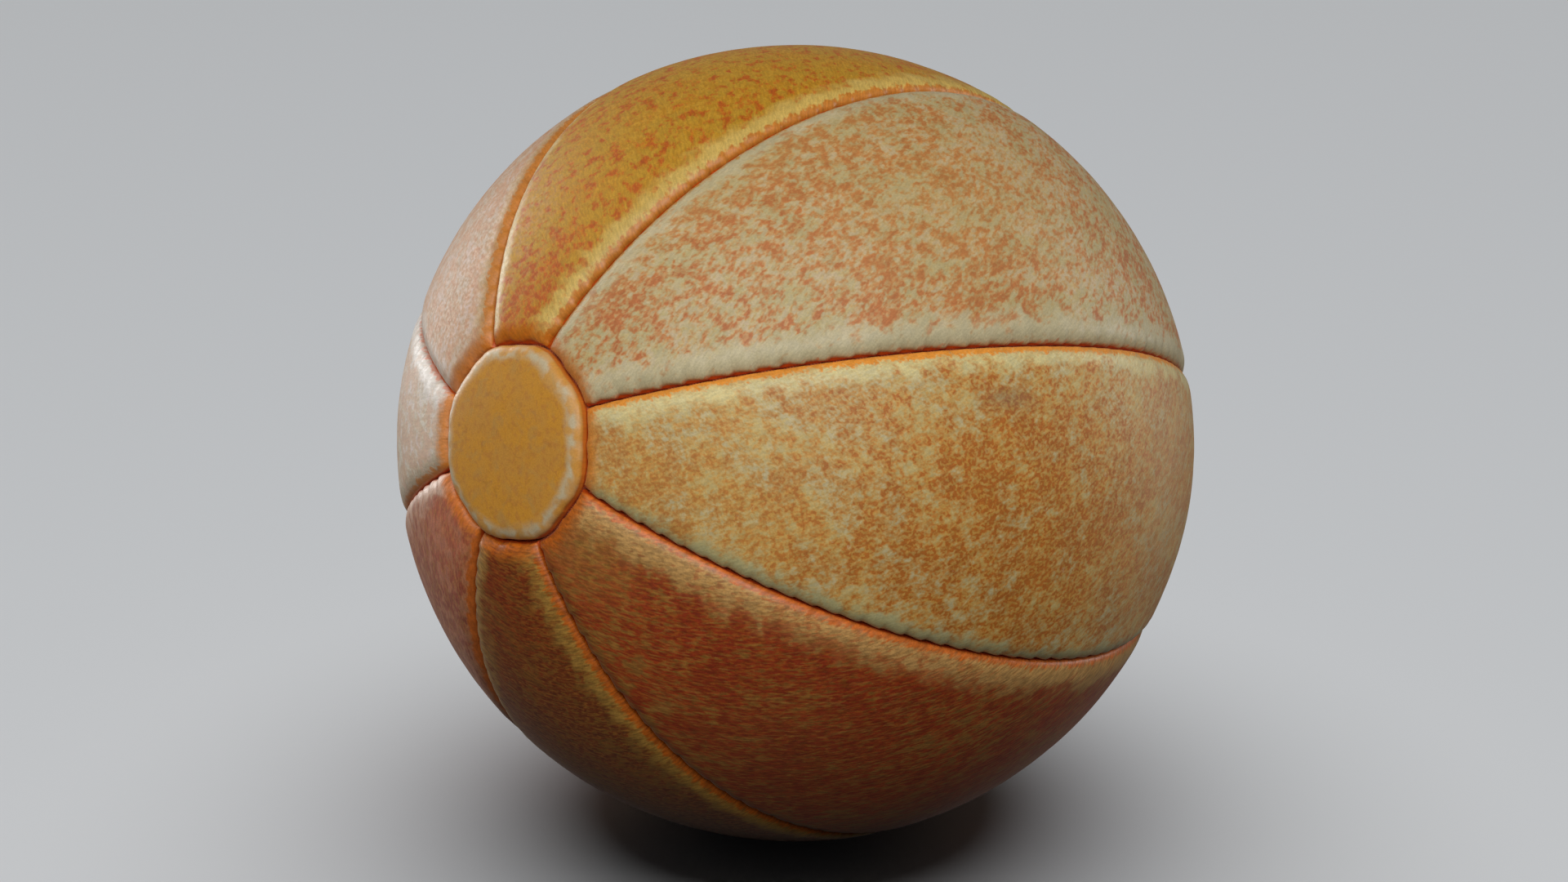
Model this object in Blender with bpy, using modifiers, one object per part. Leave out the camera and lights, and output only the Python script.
"""A sewn play ball, 216 mm across.

Eight leather gores run from one end cap to the other and are stitched to each
other and to the two round caps, with every panel edge turned inwards.  Each
panel is backed with canvas.  A rubber bladder inside holds the air, and its
valve comes out through the middle of the rear cap, where a brass grommet frames
it and a pull-out plug closes it.

Metres, +Z up, origin at the centre of the ball.  The front cap faces -Y and is
raised 12 degrees.  The ball is drawn standing on the flat that its own weight
presses into the lowest gore.

Polar angles are measured from the cap axis and azimuths about it, in degrees.
"""

import math

import bmesh
import bpy
from mathutils import Vector

# ---- driving dimensions: metres and degrees -------------------------------
BALL_R = 0.108  # crest of the inflated panels
REST_DEPTH = 0.0012  # how far the cover is pressed flat where it stands
CAP_RISE = 12.0  # elevation of the front cap's axis
CAP_ANGLE = 13.1  # polar angle of the seam round each cap
GORES = 8
LOWEST_GORE = 6  # the one the ball stands on

COVER_T = 0.0020  # leather
SEAM_GAP = 0.0018  # between two turned-in edges
SHOULDER_W = 0.0054  # width over which a panel rolls down into its seam
SHOULDER_D = 0.0024  # how far it rolls down
TURN_IN = 0.0040  # depth of the turned-in edge below that

LINING_T = 0.0008
LINING_GAP = 0.0008  # below the leather
LINING_INSET = COVER_T + LINING_GAP  # from the crest to the lining's outer face

COVER_STEPS = 32  # steps round the caps, their linings and the grommet
RUBBER_STEPS = 24  # steps round the bladder, its patch, the valve and the plug
MERGE_DISTANCE = 0.00005  # joins the turned points that lie on the axis
SHARP_ANGLE = 40.0  # edges steeper than this are shaded sharp


# ---- scene ----------------------------------------------------------------
for old in list(bpy.data.objects):
    bpy.data.objects.remove(old, do_unlink=True)

ball = bpy.data.collections.new("sewn_play_ball")
bpy.context.scene.collection.children.link(ball)


def add_axis(name, parent=None, tilt=0.0, height=0.0):
    """An empty tilted about its parent's X and moved along its parent's Z."""
    empty = bpy.data.objects.new(name, None)
    empty.rotation_euler = (math.radians(tilt), 0.0, 0.0)
    empty.location = (0.0, 0.0, height)
    empty.parent = parent
    ball.objects.link(empty)
    return empty


# The cap axis: its +Z leaves through the middle of the front cap.
front_axis = add_axis("cap_axis", tilt=90.0 - CAP_RISE)
# The same axis the other way round, for the pieces at the rear.
rear_axis = add_axis("rear_axis", front_axis, tilt=180.0)

# World up, seen from the cap axis.
UP = Vector((0.0, math.cos(math.radians(CAP_RISE)), math.sin(math.radians(CAP_RISE))))


def add_piece(name, data, made, parent):
    piece = bpy.data.objects.new(name, data)
    data.materials.append(made)
    piece.parent = parent
    ball.objects.link(piece)
    return piece


# ---- materials ------------------------------------------------------------
def material(name, colour, roughness, metallic=0.0):
    made = bpy.data.materials.new(name)
    made.use_nodes = True
    shader = made.node_tree.nodes["Principled BSDF"]
    shader.inputs["Base Color"].default_value = (*colour, 1.0)
    shader.inputs["Roughness"].default_value = roughness
    shader.inputs["Metallic"].default_value = metallic
    made.diffuse_color = (*colour, 1.0)
    return made


LEATHER_ROUGHNESS = 0.55

# Red, green and blue of gores 1 to 8.
GORE_COLOURS = (
    (0.52, 0.38, 0.24),
    (0.60, 0.36, 0.06),
    (0.72, 0.48, 0.34),
    (0.74, 0.55, 0.44),
    (0.48, 0.18, 0.14),
    (0.32, 0.15, 0.05),
    (0.42, 0.14, 0.05),
    (0.58, 0.36, 0.15),
)
OCHRE = material("ochre_leather", colour=(0.50, 0.23, 0.05), roughness=LEATHER_ROUGHNESS)
CANVAS = material("canvas", colour=(0.62, 0.55, 0.42), roughness=0.9)
THREAD = material("waxed_thread", colour=(0.55, 0.22, 0.05), roughness=0.7)
BLADDER = material("bladder_rubber", colour=(0.05, 0.04, 0.04), roughness=0.6)
PATCH = material("patch_rubber", colour=(0.16, 0.06, 0.04), roughness=0.6)
VALVE = material("valve_rubber", colour=(0.09, 0.07, 0.06), roughness=0.5)
BRASS = material("brass", colour=(0.55, 0.38, 0.14), roughness=0.35, metallic=1.0)
PLUG = material("plug_plastic", colour=(0.62, 0.58, 0.48), roughness=0.4)


# ---- measuring on the ball ------------------------------------------------
def point(theta, azimuth, radius):
    """The point at this polar angle, azimuth and distance from the centre."""
    t, a = math.radians(theta), math.radians(azimuth)
    return Vector(
        (math.sin(t) * math.cos(a), math.sin(t) * math.sin(a), math.cos(t))
    ) * radius


def arc(length):
    """Angle in degrees of this length on the ball."""
    return math.degrees(length / BALL_R)


def spaced(start, end, steps):
    """Evenly spaced values from start to end, both included."""
    return [start + (end - start) * i / steps for i in range(steps + 1)]


def roll(distance):
    """How far a panel has dropped at this distance from its turned edge."""
    along = min(max(distance / SHOULDER_W, 0.0), 1.0)
    return SHOULDER_D * (1.0 - math.sqrt(1.0 - (1.0 - along) ** 2))


# ---- seam lines -----------------------------------------------------------
FIRST_SEAM = 25.4  # nominal azimuth of seam 1
SEAM_WIND = 0.76  # lean that all the seams share
POLE_OFFSET = 1.0  # of the gores' own poles from the caps' middles
POLE_LEAN_PEAK = 55.0  # azimuth of the seam that this offset leans most

# How far the seams stray from even spacing: a share common to all, then
# waves that go once and twice round the ball, each with its crest's azimuth.
SEAM_SHIFT = -0.4
ONE_WAVE, ONE_WAVE_CREST = 1.6, 230.0
TWO_WAVE, TWO_WAVE_CREST = 0.8, 137.0


def seam_azimuth(seam, theta):
    """Azimuth of a seam at polar angle theta.  The gores' own poles lie about
    one degree off the caps' middles and the seams are wound a little, so a seam
    leans as it nears a cap, and the gores differ a little in width."""
    nominal = FIRST_SEAM + 360.0 / GORES * (seam - 1)
    lean = SEAM_WIND + POLE_OFFSET * math.cos(math.radians(nominal - POLE_LEAN_PEAK))
    shift = (
        SEAM_SHIFT
        + ONE_WAVE * math.cos(math.radians(nominal - ONE_WAVE_CREST))
        + TWO_WAVE * math.cos(math.radians(2.0 * (nominal - TWO_WAVE_CREST)))
    )
    return nominal + shift + lean / math.tan(math.radians(theta))


# ---- gores ----------------------------------------------------------------
EDGE = (0.0, 0.0016, SHOULDER_W)  # distances of the samples near an edge
INNER_COLUMNS = 4  # faces across a gore between its shoulders
ROW_STEP = 14.7  # rough angle between rows
GORE_START = CAP_ANGLE + arc(SEAM_GAP / 2)  # polar angle of a gore's front end
REST_ANGLE = 90.0 + CAP_RISE  # polar angle of the point the ball stands on
REST_MARGIN = 5.0  # from that point to the row on each side of it


def row_angles(stops=()):
    """Polar angles of a gore's rows: three close to each end, and even steps
    between the stops, with the first and the last step halved."""
    near = [GORE_START + arc(distance) for distance in EDGE]
    far = [180.0 - angle for angle in reversed(near)]
    stops = [near[-1], *stops, far[0]]
    rows = []
    for start, end in zip(stops, stops[1:]):
        rows += spaced(start, end, max(1, round((end - start) / ROW_STEP)))[:-1]
    rows.append(far[0])
    rows.insert(1, (rows[0] + rows[1]) / 2)
    rows.insert(-1, (rows[-2] + rows[-1]) / 2)
    return near[:-1] + rows + far[1:]


def press_flat(spot, inset):
    """The point moved up onto the flat, if it would be under it."""
    under = -(BALL_R - REST_DEPTH - inset) - spot.dot(UP)
    return spot + UP * under if under > 0.0 else spot


def gore_row(gore, theta, edge, inset, rolled):
    """Points across a gore, from its own seam to the next.  inset is how far
    below the crest they lie, and edge holds the distances sampled near a side."""
    row_r = BALL_R * math.sin(math.radians(theta))
    half_gap = math.degrees(SEAM_GAP / 2 / row_r)
    start = seam_azimuth(gore, theta) + half_gap
    end = seam_azimuth(gore + 1, theta) - half_gap
    width = math.radians(end - start) * row_r
    inner = spaced(SHOULDER_W, width - SHOULDER_W, INNER_COLUMNS)[1:-1]
    row = []
    for across in [*edge, *inner, *(width - distance for distance in reversed(edge))]:
        radius = BALL_R - inset
        if rolled:
            nearest_edge = min(
                across,
                width - across,
                BALL_R * math.radians(theta - GORE_START),
                BALL_R * math.radians(180.0 - GORE_START - theta),
            )
            radius -= roll(nearest_edge)
        spot = point(theta, start + math.degrees(across / row_r), radius)
        row.append(press_flat(spot, inset))
    return row


def grid_surface(rows):
    """A grid through these rows of points, with the faces looking away from
    the ball's centre."""
    x_faces, y_faces = len(rows[0]) - 1, len(rows) - 1
    grid = bmesh.new()
    bmesh.ops.create_grid(grid, x_segments=x_faces, y_segments=y_faces, size=1.0)
    for vert in grid.verts:
        column = round((vert.co.x + 1.0) / 2.0 * x_faces)
        row = round((vert.co.y + 1.0) / 2.0 * y_faces)
        vert.co = rows[row][column]
    grid.normal_update()
    inward = [f for f in grid.faces if f.normal.dot(f.calc_center_median()) < 0.0]
    if inward:
        bmesh.ops.reverse_faces(grid, faces=inward)
    return grid


def turn_in_edges(grid):
    """Adds a wall round the surface, running in towards the ball's centre."""
    rim = [edge for edge in grid.edges if edge.is_boundary]
    for part in bmesh.ops.extrude_edge_only(grid, edges=rim)["geom"]:
        if isinstance(part, bmesh.types.BMVert):
            part.co *= 1.0 - TURN_IN / part.co.length


def add_shell(name, grid, made, thickness):
    """The surface as a piece, thickened inwards."""
    mesh = bpy.data.meshes.new(name)
    grid.normal_update()
    grid.to_mesh(mesh)
    grid.free()
    mesh.shade_smooth()
    mesh.set_sharp_from_angle(angle=math.radians(SHARP_ANGLE))
    shell = add_piece(name, mesh, made, front_axis).modifiers.new("thickness", "SOLIDIFY")
    shell.thickness = thickness
    shell.offset = -1.0
    shell.use_even_offset = True


def add_gore_panel(gore, angles):
    grid = grid_surface([gore_row(gore, theta, EDGE, 0.0, True) for theta in angles])
    turn_in_edges(grid)
    leather = material(
        f"gore_{gore}_leather",
        colour=GORE_COLOURS[gore - 1],
        roughness=LEATHER_ROUGHNESS,
    )
    add_shell(f"gore_panel_{gore}", grid, leather, COVER_T)


def add_gore_lining(gore, angles):
    """Canvas that stops short of the panel's rolled shoulders on every side."""
    edge, angles = EDGE[2:], angles[2:-2]
    rows = [gore_row(gore, theta, edge, LINING_INSET, False) for theta in angles]
    add_shell(f"gore_lining_{gore}", grid_surface(rows), CANVAS, LINING_T)


def add_gores():
    """Gore 1 lies between seams 1 and 2, gore 2 between seams 2 and 3, and so
    on.  The lowest gore gets a row on each side of the point it stands on."""
    for gore in range(1, GORES + 1):
        stops = ()
        if gore == LOWEST_GORE:
            stops = (REST_ANGLE - REST_MARGIN, REST_ANGLE + REST_MARGIN)
        angles = row_angles(stops)
        add_gore_panel(gore, angles)
        add_gore_lining(gore, angles)


# ---- turned pieces --------------------------------------------------------
def add_turned(name, profile, made, parent, steps, closed=False, gap_after=None):
    """A solid turned about the parent's Z.  The profile is radius and height
    pairs, running down the outer side; one that starts and ends on the axis is
    left open, and a ring's is closed.  No edge follows point gap_after."""
    count = len(profile)
    edges = [(i, i + 1) for i in range(count - 1) if i != gap_after]
    if closed:
        edges.append((count - 1, 0))
    mesh = bpy.data.meshes.new(name)
    mesh.from_pydata([(radius, 0.0, z) for radius, z in profile], edges, [])
    screw = add_piece(name, mesh, made, parent).modifiers.new("turn", "SCREW")
    screw.steps = screw.render_steps = steps
    screw.use_merge_vertices = True
    screw.merge_threshold = MERGE_DISTANCE
    screw.use_smooth_shade = True


def polar(angle, radius):
    """Profile point at this polar angle and distance from the centre."""
    return radius * math.sin(math.radians(angle)), radius * math.cos(math.radians(angle))


def on_sphere(from_axis, radius):
    """Profile point of a sphere of this radius, at this distance from the axis."""
    return from_axis, math.sqrt(radius * radius - from_axis * from_axis)


def angle_at(from_axis, radius):
    """Polar angle of that same point."""
    return math.degrees(math.asin(from_axis / radius))


# ---- end caps -------------------------------------------------------------
CAP_FLATTEN = 0.0012  # how much lower a cap's middle is than the sphere
CAP_HOLE_R = 0.0069  # in the rear cap
LINING_HOLE_R = 0.0092  # in the rear cap's lining
CAP_EDGE = CAP_ANGLE - arc(SEAM_GAP / 2)  # polar angle of a cap's turned edge
CAP_CREST = CAP_EDGE - arc(SHOULDER_W)  # polar angle where the roll begins
CAP_TOP_STEPS = 3  # from a cap's middle or hole to its crest
CAP_SHOULDER = (0.55, 0.25, 0.08, 0.0)  # samples, in shoulder widths from the edge
CAP_RIM_T = COVER_T * 1.03  # thickness of the turned-in rim
CAP_CORNER_T = COVER_T * 1.25  # leather's depth where rim and underside meet


def cap_radius(angle, inset=0.0, rolled=True):
    radius = BALL_R - CAP_FLATTEN * (1.0 - (angle / CAP_EDGE) ** 2) - inset
    return radius - roll(BALL_R * math.radians(CAP_EDGE - angle)) if rolled else radius


def cap_top_angles(hole_r):
    return spaced(angle_at(hole_r, BALL_R), CAP_CREST, CAP_TOP_STEPS)


def cap_profile(hole_r):
    """The leather of a cap: across its top, over the rolled edge, down the
    turned-in rim and back along the underside."""
    top = cap_top_angles(hole_r)
    shoulder = [CAP_EDGE - arc(SHOULDER_W * share) for share in CAP_SHOULDER]
    inner_edge = CAP_EDGE - arc(CAP_RIM_T)
    foot = cap_radius(CAP_EDGE) - TURN_IN
    return [
        *(polar(angle, cap_radius(angle)) for angle in top + shoulder),
        polar(CAP_EDGE, foot),
        polar(inner_edge, foot),
        polar(inner_edge, cap_radius(inner_edge) - CAP_CORNER_T),
        *(polar(angle, cap_radius(angle, COVER_T)) for angle in reversed(top)),
    ]


def cap_lining_profile(hole_r):
    angles = cap_top_angles(hole_r)
    under = LINING_INSET + LINING_T
    return [
        *(polar(angle, cap_radius(angle, LINING_INSET, False)) for angle in angles),
        *(polar(angle, cap_radius(angle, under, False)) for angle in reversed(angles)),
    ]


def add_caps():
    for end, axis, hole_r, lining_hole_r in (
        ("front", front_axis, 0.0, 0.0),
        ("rear", rear_axis, CAP_HOLE_R, LINING_HOLE_R),
    ):
        closed = hole_r > 0.0
        leather, lining = cap_profile(hole_r), cap_lining_profile(lining_hole_r)
        add_turned(f"end_cap_{end}", leather, OCHRE, axis, COVER_STEPS, closed)
        add_turned(f"end_cap_lining_{end}", lining, CANVAS, axis, COVER_STEPS, closed)


# ---- bladder --------------------------------------------------------------
BLADDER_R = 0.0990
BLADDER_T = 0.0008
PORT_R = 0.0056  # opening in the bladder
# Polar angles of the bladder's rings, from the one after the port's lip.
BLADDER_ANGLES = [8.4, *spaced(16.0, 180.0, 11)[:-1]]

PATCH_INNER_R = BLADDER_R + 0.0004  # a small gap above the bladder
PATCH_T = 0.0008
PATCH_RIM_R = 0.0195
PATCH_SETBACK = 0.1  # degrees from the port's lip to the patch's


def bladder_run(radius):
    """Profile of one face of the bladder, from the port's lip to the far pole."""
    rings = [polar(angle, radius) for angle in BLADDER_ANGLES]
    return [on_sphere(PORT_R, radius), *rings, (0.0, -radius)]


def add_bladder():
    """A sphere with a port at its rear.  Its outer and inner faces meet at the
    port's lip and each ends on the axis."""
    outer = bladder_run(BLADDER_R)
    inner = bladder_run(BLADDER_R - BLADDER_T)
    add_turned(
        "bladder",
        outer + inner[::-1],
        BLADDER,
        rear_axis,
        RUBBER_STEPS,
        closed=True,
        gap_after=len(outer) - 1,
    )


def add_patch():
    """A rubber ring over the bladder, round its port."""
    start = angle_at(PORT_R, BLADDER_R) + PATCH_SETBACK
    angles = spaced(start, angle_at(PATCH_RIM_R, PATCH_INNER_R), 3)
    profile = [polar(angle, PATCH_INNER_R + PATCH_T) for angle in angles]
    profile += [polar(angle, PATCH_INNER_R) for angle in reversed(angles)]
    add_turned("bladder_patch", profile, PATCH, rear_axis, RUBBER_STEPS, closed=True)


# ---- valve, grommet and plug ----------------------------------------------
VALVE_STEM_R = 0.0050
VALVE_BORE_R = 0.0026
VALVE_TOP = 0.1056  # distance of the stem's end from the ball's centre
VALVE_CHAMFER = 0.0003  # round the stem's end
VALVE_BORE_CHAMFER = 0.0002  # round the bore's mouth
VALVE_FLANGE_R = 0.0120
VALVE_FLANGE_TOP = 0.0969
VALVE_FLANGE_T = 0.0012
VALVE_ROOT_W, VALVE_ROOT_H = 0.0003, 0.0006  # flare where stem meets flange

# Radius and height: the outer flange, down the tube, the inner flange.
GROMMET_PROFILE = (
    (0.0054, 0.1074),
    (0.0058, 0.1076),
    (0.0078, 0.1076),
    (0.0088, 0.1071),
    (0.0063, 0.1070),
    (0.0063, 0.1043),
    (0.0082, 0.1042),
    (0.0082, 0.1038),
    (0.0058, 0.1038),
    (0.0054, 0.1042),
)

PLUG_SEAT = VALVE_TOP + 0.0003  # underside of the head, just clear of the stem
PLUG_SHAFT_R = 0.0022
PLUG_LENGTH = 0.0120
PLUG_TIP_R = 0.0014
PLUG_TAPER = 0.0015  # length of the tapered tip
# Radius and height above the seat, from the middle of the head to its underside.
PLUG_HEAD = (
    (0.0, 0.0013),
    (0.0028, 0.0012),
    (0.0040, 0.0008),
    (0.0044, 0.0003),
    (0.0044, 0.0001),
    (0.0042, 0.0),
)


def add_valve():
    """A flange inside the bladder and a stem up to the cap."""
    foot = VALVE_FLANGE_TOP - VALVE_FLANGE_T
    profile = [
        (VALVE_BORE_R + VALVE_BORE_CHAMFER, VALVE_TOP),
        (VALVE_STEM_R - VALVE_CHAMFER, VALVE_TOP),
        (VALVE_STEM_R, VALVE_TOP - VALVE_CHAMFER),
        (VALVE_STEM_R, VALVE_FLANGE_TOP + VALVE_ROOT_H),
        (VALVE_STEM_R + VALVE_ROOT_W, VALVE_FLANGE_TOP),
        (VALVE_FLANGE_R, VALVE_FLANGE_TOP),
        (VALVE_FLANGE_R, foot),
        (VALVE_BORE_R, foot),
        (VALVE_BORE_R, VALVE_TOP - VALVE_BORE_CHAMFER),
    ]
    add_turned("valve_body", profile, VALVE, rear_axis, RUBBER_STEPS, closed=True)


def add_grommet():
    """A tube through the cap's hole with a flange on each face."""
    add_turned(
        "valve_grommet", GROMMET_PROFILE, BRASS, rear_axis, COVER_STEPS, closed=True
    )


def add_plug():
    """The plug, on its own axis at the middle of the rear cap.  It pulls
    straight out."""
    plug_axis = add_axis("plug_axis", rear_axis, height=PLUG_SEAT)
    profile = [
        *PLUG_HEAD,
        (PLUG_SHAFT_R, 0.0),
        (PLUG_SHAFT_R, PLUG_TAPER - PLUG_LENGTH),
        (PLUG_TIP_R, -PLUG_LENGTH),
        (0.0, -PLUG_LENGTH),
    ]
    add_turned("valve_plug", profile, PLUG, plug_axis, RUBBER_STEPS)


# ---- threads --------------------------------------------------------------
THREAD_R = 0.00035
THREAD_AT = 0.1033  # radius of the stitch line, down in the seam
THREAD_SWAY = 0.00015  # to each side of the seam, one stitch after another
STITCH = 0.0055  # length of one stitch
THREAD_START = CAP_ANGLE + arc(0.0030)  # polar angle where a gore seam's thread starts


def add_thread(name, points, cyclic=False):
    """A thread with one point to a stitch."""
    data = bpy.data.curves.new(name, "CURVE")
    data.dimensions = "3D"
    data.bevel_depth = THREAD_R
    data.bevel_resolution = 0
    data.use_fill_caps = not cyclic
    line = data.splines.new("POLY")
    line.points.add(len(points) - 1)
    for line_point, spot in zip(line.points, points):
        line_point.co = (*spot, 1.0)
    line.use_cyclic_u = cyclic
    add_piece(name, data, THREAD, front_axis)


def sway(stitch):
    return THREAD_SWAY * (-1) ** stitch


def add_gore_seam_threads():
    length = BALL_R * math.radians(180.0 - 2.0 * THREAD_START)
    angles = spaced(THREAD_START, 180.0 - THREAD_START, round(length / STITCH))
    for seam in range(1, GORES + 1):
        line = []
        for i, theta in enumerate(angles):
            row_r = THREAD_AT * math.sin(math.radians(theta))
            azimuth = seam_azimuth(seam, theta) + math.degrees(sway(i) / row_r)
            line.append(point(theta, azimuth, THREAD_AT))
        add_thread(f"seam_thread_{seam}", line)


def add_cap_seam_threads():
    around = 2.0 * math.pi * THREAD_AT * math.sin(math.radians(CAP_ANGLE))
    # An even number of stitches, so that the sway closes on itself.
    count = 2 * round(around / STITCH / 2.0)
    for end, side in (("front", 1.0), ("rear", -1.0)):
        line = []
        for i in range(count):
            theta = CAP_ANGLE + math.degrees(sway(i) / THREAD_AT)
            spot = point(theta, 360.0 * i / count, THREAD_AT)
            spot.z *= side
            line.append(spot)
        add_thread(f"cap_seam_thread_{end}", line, cyclic=True)


add_gores()
add_caps()
add_bladder()
add_patch()
add_valve()
add_grommet()
add_plug()
add_gore_seam_threads()
add_cap_seam_threads()
